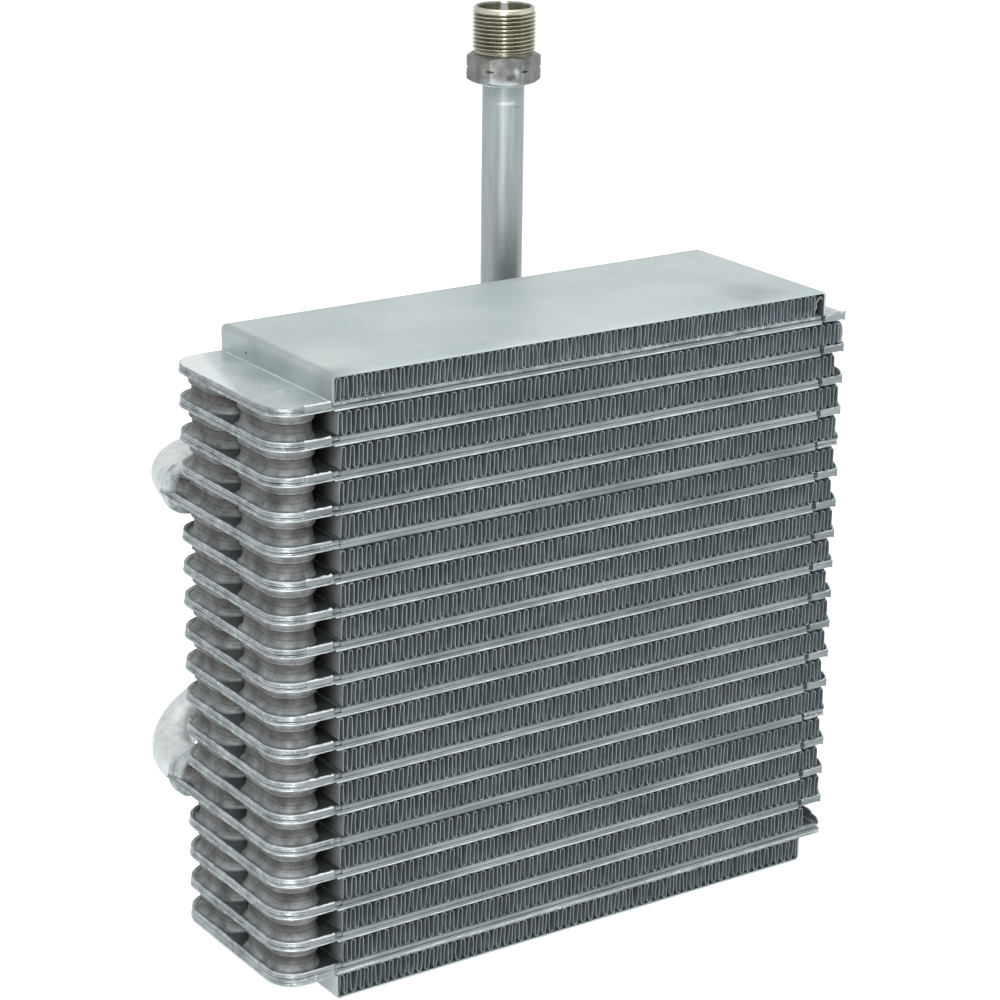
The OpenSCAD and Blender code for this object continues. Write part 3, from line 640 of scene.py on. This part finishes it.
def socket_half(shape, up, z, seed):
    """Half of the socket for a pipe: the rear cup's wall runs on back to a ring with a rounded lip.
    Rows are (y, half width, height, squareness, unevenness)."""
    a1, a2, a3 = (waves(seed + i, 7, 0.3, 2.2) for i in range(3))
    if up > 0:
        wall = [(22.0, 7.2, 8.8, 5, 0), (24.5, 8.15, 9.0, 5, 0), (28.0, 8.3, 9.0, 5, 0), (31.0, 8.3, 9.1, 4.6, 0.2),
                (33.0, 8.4, 9.1, 4.2, 0.4), (34.2, 8.6, 9.2, 3.8, 0.5)]
        ring = [(34.6, 9.0, 9.3, 3.4, 0.7), (35.3, 9.5, 9.45, 3, 1), (36.6, 9.75, 9.6, 2.6, 1),
                (38.4, 9.8, 9.75, 2.2, 1), (40.4, 9.8, 9.8, 2, 1)]
    else:
        wall = [(42.0, 5.0, 5.0, 2, 0), (42.1, 8.4, 8.4, 2, 0)]
        ring = [(42.2, 9.2, 9.6, 2.2, 0.6), (42.8, 9.8, 9.8, 2, 1)]
    ring += [(43.2, 9.78, 9.78, 2, 1), (44.4, 9.85, 9.85, 2, 0.8), (45.3, 9.85, 9.85, 2, 0.6),
             (45.9, 9.6, 9.6, 2, 0.4), (46.25, 9.1, 9.1, 2, 0.2), (46.28, 8.75, 8.75, 2, 0),
             (45.9, 8.45, 8.45, 2, 0), (44.6, 8.15, 8.15, 2, 0), (43.0, 8.1, 8.1, 2, 0)]
    ang = np.linspace(0, math.pi, 48)
    for rows, mat in ((wall + ring[:1], CUP if up > 0 else SOCKET), (ring, SOCKET)):
        P = np.zeros((len(rows), len(ang), 3))
        for i, (y, rx, rz, p, k) in enumerate(rows):
            dr = k * 0.13 * (a1(ang) + a2(ang * 2 + y / 4) + a3(y / 3 + ang) - 1.5)
            cx = np.interp(y, [30, 35], [CUP_X, SOCKET_X])
            P[i, :, 0] = cx + (rx + dr) * np.sign(np.cos(ang)) * np.abs(np.cos(ang)) ** (2 / p)
            P[i, :, 1] = y
            P[i, :, 2] = z + up * (rz + dr) * np.abs(np.sin(ang)) ** (2 / p)
        shape.grid(P, mat=mat)


def plate(k, up):
    """One stamped plate: up is 1 for the upper half of tube k and -1 for its lower half."""
    z, seed = tube_z(k), 20 * k + (0 if up > 0 else 1000)
    manifold = k in (INLET_TUBE, OUTLET_TUBE)
    sh = Shape()
    if up > 0 and k == 1:
        rim(sh, TOP_RIM, z, 11, False, TOP, 0.07)
        strip(sh, NEAR_NOTCH[1], FAR_NOTCH[0], LONG_LIP, -1, 1, z, 500)
        return make("top_sheet", sh, PLATE_MATS, "cover", "top_end_plate")
    if up < 0 and k == TUBES:
        rim(sh, BOTTOM_RIM, z, 17, False, FLAT, notched=False)
        return make("bottom_sheet", sh, PLATE_MATS, "plate", "bottom_end_plate")
    rim(sh, UPPER_RIM if up > 0 else LOWER_RIM, z, seed, manifold, FLAT, notched=k < TUBES)
    runs(sh, up, z, seed + 3)
    cups(sh, CUP_PROFILE if up > 0 else COLLAR_PROFILE, z, seed + 5)
    if manifold:
        socket_half(sh, up, z, seed + 9)
    else:
        # the lips that fold over the other plate, front for one half and rear for the other
        # the lips' first faces carry painted highlights
        strip(sh, NEAR_NOTCH[1], FAR_NOTCH[0] if k < TUBES else FAR_X, LONG_LIP, -up, up, z, seed + 500)
        strip(sh, -10.6, -0.6, TANK_LIP, up, -up, z, seed + 540, jag=0.24, flare=0.2, ease=2.5, lit=GLINT)
        strip(sh, FAR_NOTCH[1] + 0.2, FAR_X, END_LIP, up, -up, z, seed + 580, jag=0.16, flare=0.7, bright=2)
    if up > 0:
        stop_tab(sh, z, seed + 13)
    half = "upper" if up > 0 else "lower"
    return make(f"plate_{k:02d}_{'up' if up > 0 else 'low'}", sh, PLATE_MATS, "plate", f"plate_{k:02d}_{half}")


for k in range(1, TUBES + 1):
    plate(k, 1)
    plate(k, -1)


# Fins

FIN_WAVE, COVER_FIN_WAVE, FIN_T = 3.44, 3.15, 0.28
# How far short of their full length some rows stop
ROW_ENDS = {2: 1.4, 3: 2.6, 4: 0.4, 5: 0.5, 18: 7.2}
# The crushed last leg of the top row leans on the cover's end wall, and the next row's bulges out
CURLS = {1: [(207.2, 0.3), (207.0, 1.8), (207.9, 3.4), (207.7, 5.0), (208.9, 6.4), (209.9, 7.2), (210.5, 6.2)],
         2: [(219.6, 8.5), (220.6, 7.6), (221.1, 6.2), (221.25, 4.4), (221.1, 2.6), (220.7, 1.2), (219.9, 0.4)]}
# Places in the list of the fins' materials
OUTSIDE, INSIDE, CUT, LAST_LEG, BRIGHT_CUT = range(5)
FIN_MATS = [MAT_FIN, MAT_FIN_IN, MAT_FIN_EDGE, MAT_FIN_END, MAT_BRIGHT]


def curl(shape, z0, points, mat):
    """A bent leg of sheet along points, as deep as the fins."""
    line = np.array(points)
    T = tangents(line)
    N = np.c_[-T[:, 1], T[:, 0]] * 0.2
    a, b, c, d = [np.c_[q[:, 0], np.full(len(q), y), z0 + q[:, 1]]
                  for y in (-37.5, 37.5) for q in (line + N, line - N)]
    rings = [a, b, d, c]
    shape.grid(np.stack(rings), close_u=True, mat=mat)
    for j in (0, -1):
        shape.cap([r[j] for r in rings], mat)


def fin_row(k):
    """Corrugated strip: narrow loops with round tops, joined by tight bends at the foot. Its cut
    edge dips a little at the top, front and rear."""
    rng = np.random.default_rng(7000 + k)
    if k in (1, TUBES + 1):
        xa, xb, h = 1.1, CORE_LEN - (4.6 if k == 1 else 1.1), COVER_H - 1.0
        z0, dip, amp = (STACK_TOP if k == 1 else 1.0), 0.0, 2.0
    else:
        short = ROW_ENDS.get(k, 0.9 + 0.8 * math.sin(k * 2.1))
        xa, xb, h = 1.5 + 1.7 * abs(math.sin(k * 1.7)), FAR_X - 0.75 - short, PITCH - 2 * HALF_TUBE
        z0, dip, amp = tube_z(k) + HALF_TUBE, 0.8, 1.0
    # middles of the loops, then their legs at the foot and at the top, kept apart from each other
    margin, foot_gap, top_gap = 1.2, 1.0, 0.6
    n = int((xb - xa - 2 * margin) / (COVER_FIN_WAVE if k == 1 else FIN_WAVE)) + 1
    wave = (xb - xa - 2 * margin) / (n - 1)
    i = np.arange(n)
    drift, lean, wide = waves(8000 + k, 6, 0.01, 0.09), waves(8100 + k, 6, 0.01, 0.12), waves(8200 + k, 6, 0.02, 0.2)
    sway = 0.3 * amp * drift(i) * np.sin(math.pi * (i + 0.5) / n)
    c = xa + margin + wave * i + sway + rng.normal(0, 0.07 * amp, n)
    top = 0.8 + 0.1 * wide(i) + rng.normal(0, 0.05, n)
    low = 0.92 + 0.07 * wide(i + 40) + rng.normal(0, 0.04, n)
    shift = 0.14 + 0.16 * amp * lean(i) + rng.normal(0, 0.07 * amp, n)
    left, right = c - low, c + low
    for a in range(1, n):
        gap = left[a] - right[a - 1]
        if gap < foot_gap:
            left[a] += (foot_gap - gap) / 2
            right[a - 1] -= (foot_gap - gap) / 2
    lo, hi = xa + 0.2, xb - 0.2
    left, right = np.clip(left, lo, hi), np.clip(right, lo, hi)
    tl, tr = np.clip(c + shift - top, lo, hi), np.clip(c + shift + top, lo, hi)
    for a in range(1, n):
        if tl[a] - tr[a - 1] < top_gap:
            m = (tl[a] + tr[a - 1]) / 2
            tl[a], tr[a - 1] = m + top_gap / 2, m - top_gap / 2
    bow = rng.normal(0, 0.08 * amp, (n, 2))
    front = 0.32 + 0.14 * waves(8300 + k, 8, 0.03, 0.4)(i) + rng.uniform(-0.05, 0.07, n)
    height = h - FIN_T / 2
    # the strip's middle line in X and Z, how far its cut edge lies in, and its faces' materials
    line, inset, out_mat, cut_mat = [], [], [], []

    def put(x, z, d, out=OUTSIDE, cut=CUT):
        line.append((x, z))
        inset.append(d)
        out_mat.append(out)
        cut_mat.append(cut)

    for a in range(n):
        r = (tr[a] - tl[a]) / 2
        rv = min(1.0, r * 1.1)
        foot = 0.45 if a in (0, n - 1) else 0.75
        leg = height - rv - foot - FIN_T / 2
        first, last = (LAST_LEG if a == 0 else OUTSIDE), (LAST_LEG if a == n - 1 else OUTSIDE)
        for t in (0.0, 0.5):
            put(left[a] + (tl[a] - left[a]) * t + bow[a, 0] * math.sin(math.pi * t),
                FIN_T / 2 + foot + leg * t, front[a], first)
        for t in np.linspace(0, math.pi, 7):
            put((tl[a] + tr[a]) / 2 - r * math.cos(t), height - rv + rv * math.sin(t), front[a],
                first if t < 1 else OUTSIDE)
        for t in (0.5, 1.0):
            put(tr[a] + (right[a] - tr[a]) * t + bow[a, 1] * math.sin(math.pi * t),
                height - rv - leg * t, front[a], last)
        if a < n - 1:
            q = (left[a + 1] - right[a]) / 2
            # some bends at the foot, more of them towards the far end, take a painted highlight
            bright = BRIGHT_CUT if rng.random() < (0.35 if c[a] > 110 else 0.08) else CUT
            for t in np.linspace(0, math.pi, 6)[1:-1]:
                put(right[a] + q - q * math.cos(t), FIN_T / 2 + 0.75 * (1 - math.sin(t)), front[a],
                    cut=bright if 1.1 < t < 1.9 else CUT)
    line, inset = np.array(line), np.array(inset)
    T = tangents(line)
    N = np.c_[-T[:, 1], T[:, 0]] * FIN_T / 2
    sh = Shape()

    def ring(Q, y, cut):
        return np.c_[Q[:, 0], y, z0 + Q[:, 1] * ((h - dip) / h if cut else 1)]

    depths = ((-HALF_D + inset, True), (-HALF_D + inset + 1.4, False),
              (HALF_D - inset - 1.4, False), (HALF_D - inset, True))
    outside, inside = ([ring(Q, y, cut) for y, cut in depths] for Q in (line + N, line - N))
    sh.grid(np.stack(outside), mat=out_mat[:-1])
    sh.grid(np.stack(inside), mat=INSIDE)
    for d in (0, 3):
        sh.grid(np.stack([inside[d], outside[d]]), mat=cut_mat[:-1])
    for j in (0, -1):
        sh.add([r[j] for r in outside + inside], [(m, m + 1, m + 5, m + 4) for m in range(3)], LAST_LEG)
    if k in CURLS:
        # the bulge of row 2 takes the painted highlight material
        curl(sh, z0, CURLS[k], LAST_LEG if k == 1 else BRIGHT_CUT)
    return make(f"fin_strip_{k:02d}", sh, FIN_MATS, "fin", f"fins_{k:02d}", smooth=50)


for k in range(1, TUBES + 2):
    fin_row(k)


# Covers

def cover(name, node, z, up, seed):
    """Folded sheet: web and two end walls, with rounded cut edges."""
    t, r = 1.0, 1.8
    quarter = np.linspace(0, math.pi / 2, 9)
    line = [(0.0, 0.0)]
    line += [(0.0, v) for v in np.linspace(0.6, COVER_H - r, 6)]
    line += [(r - r * math.cos(a), COVER_H - r + r * math.sin(a)) for a in quarter[1:]]
    line += [(v, COVER_H) for v in np.linspace(r + 2, CORE_LEN - r - 2, 40)]
    line += [(CORE_LEN - r + r * math.sin(a), COVER_H - r + r * math.cos(a)) for a in quarter]
    line += [(CORE_LEN, v) for v in np.linspace(COVER_H - r, 0.0, 7)[1:]]
    line = np.array(line)
    T = tangents(line)
    N = np.c_[T[:, 1], -T[:, 0]]
    w = waves(seed, 6, 1, 7)
    # rows are (y, how far the face is rounded in)
    rows = [(-HALF_D, 0.22), (-HALF_D + 0.07, 0.07), (-HALF_D + 0.22, 0.0)]
    rows += [(y, 0.0) for y in np.linspace(-30, 30, 7)]
    rows += [(HALF_D - 0.22, 0.0), (HALF_D - 0.07, 0.07), (HALF_D, 0.22)]
    rings = []
    for face, side in ((rows, 0), (rows[::-1], t)):
        for y, inset in face:
            Q = line + N * abs(side - inset)
            rings.append(np.c_[Q[:, 0], np.full(len(Q), y), Q[:, 1]])
    P = np.stack(rings, axis=1)
    edge = 0.05 * w(P[:, :, 0] / 60)
    P[:, :, 1] += np.where(P[:, :, 1] < -37, edge + 0.05, np.where(P[:, :, 1] > 37, -edge - 0.05, 0))
    P[:, :, 2] = z + up * P[:, :, 2]
    sh = Shape()
    # the inner faces take the darker plate material as painted shade
    sh.grid(P, close_v=True, mat=[0] * len(rows) + [1] * (len(rows) - 1) + [0])
    sh.cap(P[0])
    sh.cap(P[-1])
    return make(name, sh, [MAT_COVER, MAT_PLATE], "cover", node, smooth=40)


cover("cover_above", "top_cover", STACK_TOP, 1, 77)
cover("cover_below", "bottom_cover", COVER_H, -1, 78)


def bead(shape, points, r, seed, squash=0.6):
    """A thin uneven run of braze along points."""
    pts = np.asarray(points, float)
    w1, w2 = waves(seed, 8, 2, 40), waves(seed + 1, 8, 2, 30)
    n = len(pts)
    T = tangents(pts)
    up = np.array([0, 0, 1.0])
    P = np.zeros((n, 8, 3))
    for i in range(n):
        side = np.cross(T[i], up)
        side /= np.linalg.norm(side)
        rad = r * (1 + 0.35 * w1(i / n)) * (0.3 if i in (0, n - 1) else 1)
        for j in range(8):
            a = 2 * math.pi * j / 8
            P[i, j] = pts[i] + side * rad * math.cos(a) * (1 + 0.2 * w2(i / n)) + up * rad * squash * math.sin(a)
    shape.grid(P, close_v=True)
    shape.cap(P[0])
    shape.cap(P[-1])


sh = Shape()
for i, (x, s) in enumerate(((-0.05, -1), (CORE_LEN + 0.05, 1))):
    for j, z in enumerate((STACK_TOP + 0.08, COVER_H - 0.08)):
        bead(sh, [(x + s * 0.15, y, z) for y in np.linspace(-37.6, 37.6, 90)], 0.42, 300 + i + 10 * j)
make("cover_braze", sh, [MAT_BRAZE], "cover")


# Pipes

def bend(centre, a, b, angle):
    """Points of an arc about centre: starts along a, turns towards b."""
    c, a, b = (np.asarray(v, float) for v in (centre, a, b))
    return [c + a * math.cos(t) + b * math.sin(t) for t in np.linspace(0, angle, 28)]


def tube(pts, radii):
    """Rings of points round a line, with no twist between them."""
    sides = 56
    T = tangents(pts)
    N = np.cross(T[0], [0.0, 0.0, 1.0])
    ang = 2 * math.pi * np.arange(sides) / sides
    P = np.zeros((len(pts), sides, 3))
    for i in range(len(pts)):
        N = N - T[i] * np.dot(N, T[i])
        N /= np.linalg.norm(N)
        B = np.cross(T[i], N)
        P[i] = pts[i] + radii[i] * (np.outer(np.cos(ang), N) + np.outer(np.sin(ang), B))
    return P


def hollow_pipe(name, node, pts, radii):
    pts = np.asarray(pts, float)
    P = tube(pts, radii)
    Q = tube(pts, [min(r, PIPE_R) - PIPE_WALL for r in radii])
    sh = Shape()
    sh.grid(P, close_v=True)
    sh.grid(Q, close_v=True)
    for i in (0, -1):
        sh.grid(np.stack([P[i], Q[i]]), close_v=True)
    return make(name, sh, [MAT_PIPE], "pipe", node, smooth=50)


def inlet():
    """Out of the upper socket and along the back, leaning out behind the riser, to a rolled bead."""
    z, y0, r, turn = tube_z(INLET_TUBE), MOUTH_Y + 1.1, 28.0, math.radians(75)
    run, bead_at, bead_h = 29.98, 21.0, 1.59
    line = [(SOCKET_X, y, z) for y in np.linspace(HALF_D + 0.5, y0, 6)]
    line += [tuple(p) for p in bend((SOCKET_X + r, y0, z), (-r, 0, 0), (0, r, 0), turn)[1:]]
    start = np.array([SOCKET_X + r - r * math.cos(turn), y0 + r * math.sin(turn), z])
    along = np.array([math.sin(turn), math.cos(turn), 0])
    steps = list(np.linspace(2, bead_at - 3, 6)) + list(np.linspace(bead_at - 2.5, run, 40))
    radii = [PIPE_R] * len(line)
    radii += [PIPE_R + math.sqrt(max(0.0, bead_h ** 2 - (t - bead_at) ** 2)) for t in steps]
    line += [tuple(start + along * t) for t in steps]
    return hollow_pipe("pipe_inlet", "inlet_pipe", line, radii)


def outlet():
    """Out of the lower socket, up a slope behind the core and up the riser."""
    y0, r, r_rise, slope = MOUTH_Y + OUT_LEAD, OUT_R, 30.0, math.radians(29)
    along = np.array([math.cos(slope), 0, math.sin(slope)])
    above = np.array([-math.sin(slope), 0, math.cos(slope)])
    o = np.array([SOCKET_X, 0, tube_z(OUTLET_TUBE)])
    back = o + [0, BACK_Y, 0]
    line = [o + [0, y, 0] for y in np.linspace(HALF_D + 0.5, y0, 6)]
    line += bend(o + [0, y0, 0] + along * r, -along * r, (0, r, 0), math.pi / 2)[1:]
    s_end = (RISE_X - SOCKET_X - r_rise * (1 - math.sin(slope))) / math.cos(slope)
    line += [back + along * s for s in np.linspace(r, s_end, 22)[1:]]
    line += bend(back + along * s_end + above * r_rise, -above * r_rise, along * r_rise, math.pi / 2 - slope)[1:]
    line += [np.array([RISE_X, BACK_Y, z]) for z in np.linspace(line[-1][2], FIT_Z + 8, 30)[1:]]
    return hollow_pipe("pipe_outlet", "outlet_pipe", line, [PIPE_R] * len(line))


inlet()
outlet()


# Fitting

def fitting():
    """Hexagon with chamfers and a groove, a real helix, and an open bore with a step."""
    turn = math.radians(32.6)
    corner = HEX_AF / math.sqrt(3)
    tr, mid = corner - 0.3, HEX_H / 2
    prof = [(0, tr - 2.0), (1.0, tr), (mid - 0.5, tr), (mid, tr - 0.75), (mid + 0.5, tr), (HEX_H - 1.0, tr),
            (HEX_H, tr - 2.0)]
    zs = np.unique(np.concatenate([np.linspace(a[0], b[0], 7) for a, b in zip(prof, prof[1:])]))
    na = 6 * 40
    ang = turn + 2 * math.pi * np.arange(na) / na
    local = (ang - turn) % (math.pi / 3) - math.pi / 6
    hexr = np.minimum(HEX_AF / 2 / np.cos(local), tr)
    dents = waves(41, 8, 2, 12)
    pz, pr = np.array(prof).T
    sh = Shape()

    def ring(r, z):
        r = np.broadcast_to(r, ang.shape)
        return np.c_[RISE_X + r * np.cos(ang), BACK_Y + r * np.sin(ang), np.full(na, z)]

    rows = [ring(PIPE_R + 0.1, FIT_Z)]
    for z in zs:
        r = np.minimum(hexr, np.interp(z, pz, pr))
        nick = 0.12 * dents(ang / 2 / math.pi * 6 + z / 11) + 0.1 * dents(ang * 2.2 + z / 5)
        rows.append(ring(r - np.clip(nick, 0, 1) * (0.25 + (hexr > corner - 1.0)), FIT_Z + z))
    rows.append(ring(11.0, FIT_Z + HEX_H))
    sh.grid(np.array(rows), close_v=True, mat=0)
    # the helix starts past the relief above the hexagon and ends below a plain band
    z0, z1 = FIT_Z + HEX_H, THREAD_TOP
    rows = []
    for z in np.arange(z0, z1 + 0.001, 0.088):
        phase = (z / THREAD_PITCH - ang / (2 * math.pi)) % 1.0
        tooth = np.clip(1.25 - 2.9 * np.abs(phase - 0.5), 0, 1)
        depth = (CREST_R - ROOT_R) * min(1.0, max(0.0, (z - z0 - 0.7) / 1.2))
        band = min(1.0, max(0.0, (z - z1 + 2.1) / 0.5))
        r = (ROOT_R + depth * tooth) * (1 - band) + (CREST_R - 0.35) * band
        rows.append(ring(np.minimum(r, 11.1 + max(0.0, z1 - z) * 1.3), z))
    rows.append(ring(BORE_R + 0.6, z1))
    sh.grid(np.array(rows), close_v=True, mat=1)
    bore = [(BORE_R + 0.6, z1), (BORE_R + 0.15, z1 - 0.3), (BORE_R, z1 - 0.6), (BORE_R, z1 - 12),
            (PIPE_R - PIPE_WALL, z1 - 12), (PIPE_R - PIPE_WALL, FIT_Z + 8)]
    sh.grid(np.array([ring(*row) for row in bore]), close_v=True, mat=2)
    return make("fitting_male", sh, [MAT_HEX, MAT_THREAD, MAT_BORE], "fitting", "outlet_fitting", smooth=24)


fitting()
sh = Shape()
around = [(math.cos(a), math.sin(a)) for a in np.linspace(0, 2 * math.pi, 73)]
bead(sh, [(RISE_X + 8.35 * x, BACK_Y + 8.35 * y, FIT_Z - 0.3) for x, y in around], 1.0, 350, squash=1.1)
make("fitting_braze", sh, [MAT_BRAZE], "pipe")


# Floor, light, camera

def background_rays(nt):
    """1 for rays that should meet the plain background: from the camera, and off metal."""
    lp = nt.nodes.new("ShaderNodeLightPath")
    rays = math_node(nt, "ADD", lp.outputs["Is Camera Ray"], lp.outputs["Is Glossy Ray"])
    return math_node(nt, "MINIMUM", math_node(nt, "ADD", rays, lp.outputs["Is Transmission Ray"]), 1.0)


def by_rays(nt, lighting, background, target):
    """Sends one shader to the background's rays and the other to the rest."""
    mx = nt.nodes.new("ShaderNodeMixShader")
    nt.links.new(background_rays(nt), mx.inputs[0])
    nt.links.new(lighting.outputs[0], mx.inputs[1])
    nt.links.new(background.outputs[0], mx.inputs[2])
    nt.links.new(mx.outputs[0], nt.nodes[target].inputs["Surface"])


def floor():
    s = 3.0
    me = bpy.data.meshes.new("floor")
    me.from_pydata([(-s, -s, 0), (s, -s, 0), (s, s, 0), (-s, s, 0)], [], [(0, 1, 2, 3)])
    ob = bpy.data.objects.new("floor", me)
    bpy.context.scene.collection.objects.link(ob)
    m, nt, bsdf = nodes_of("floor")
    bsdf.inputs["Base Color"].default_value = (0.8, 0.8, 0.8, 1)
    bsdf.inputs["Roughness"].default_value = 0.9
    bsdf.inputs["Specular IOR Level"].default_value = 0.1
    glow, add = nt.nodes.new("ShaderNodeEmission"), nt.nodes.new("ShaderNodeAddShader")
    glow.inputs["Strength"].default_value = 0.8
    nt.links.new(bsdf.outputs[0], add.inputs[0])
    nt.links.new(glow.outputs[0], add.inputs[1])
    by_rays(nt, bsdf, add, "Material Output")
    me.materials.append(m)


def sky():
    world = bpy.data.worlds.new("world")
    bpy.context.scene.world = world
    world.use_nodes = True
    nt = world.node_tree
    soft, white = nt.nodes["Background"], nt.nodes.new("ShaderNodeBackground")
    soft.inputs["Color"].default_value = (0.93, 0.97, 1.0, 1)
    soft.inputs["Strength"].default_value = 0.36
    white.inputs["Color"].default_value = (1, 1, 1, 1)
    by_rays(nt, soft, white, "World Output")


floor()
sky()


def area(name, loc, target, size, watts):
    """A rectangular lamp in metres that faces target."""
    lamp = bpy.data.lights.new(name, "AREA")
    lamp.shape, lamp.size, lamp.size_y = "RECTANGLE", size[0], size[1]
    lamp.energy = watts
    ob = bpy.data.objects.new(name, lamp)
    bpy.context.scene.collection.objects.link(ob)
    d = np.array(target, float) - np.array(loc, float)
    z = -d / np.linalg.norm(d)
    x = np.cross([0, 0, 1], z)
    x /= np.linalg.norm(x)
    y = np.cross(z, x)
    ob.matrix_world = Matrix([[x[i], y[i], z[i], loc[i]] for i in range(3)] + [[0, 0, 0, 1]])


area("key", (-0.9, -0.95, 1.15), (0, 0, 0.12), (0.8, 0.9), 10.5)
area("fill", (1.2, -1.2, 0.7), (0, 0, 0.12), (0.9, 0.9), 3)
area("top", (0.1, 0.1, 1.5), (0, 0, 0.12), (1.0, 1.0), 5)
area("front", (-0.42, -0.63, 0.1), (0.02, 0.05, 0.3), (0.14, 0.5), 1.7)


def camera():
    """The photograph's view: a camera fitted to marked points of the core."""
    cam = bpy.data.cameras.new("camera")
    cam.sensor_width, cam.lens = 36.0, 105.85
    cam.clip_start, cam.clip_end = 0.05, 20
    ob = bpy.data.objects.new("camera", cam)
    bpy.context.scene.collection.objects.link(ob)
    az, el, roll = (math.radians(v) for v in (-34.185, 18.764, 0.729))
    pos = np.array([-583.8, -841.0, 505.4]) * 0.001
    fwd = np.array([-math.sin(az) * math.cos(el), math.cos(az) * math.cos(el), -math.sin(el)])
    level = np.array([math.cos(az), math.sin(az), 0.0])
    up = np.cross(level, fwd)
    x = math.cos(roll) * level + math.sin(roll) * up
    y = -math.sin(roll) * level + math.cos(roll) * up
    ob.matrix_world = Matrix([[x[i], y[i], -fwd[i], pos[i]] for i in range(3)] + [[0, 0, 0, 1]])
    bpy.context.scene.camera = ob


camera()
bpy.context.scene.view_settings.view_transform = "Standard"
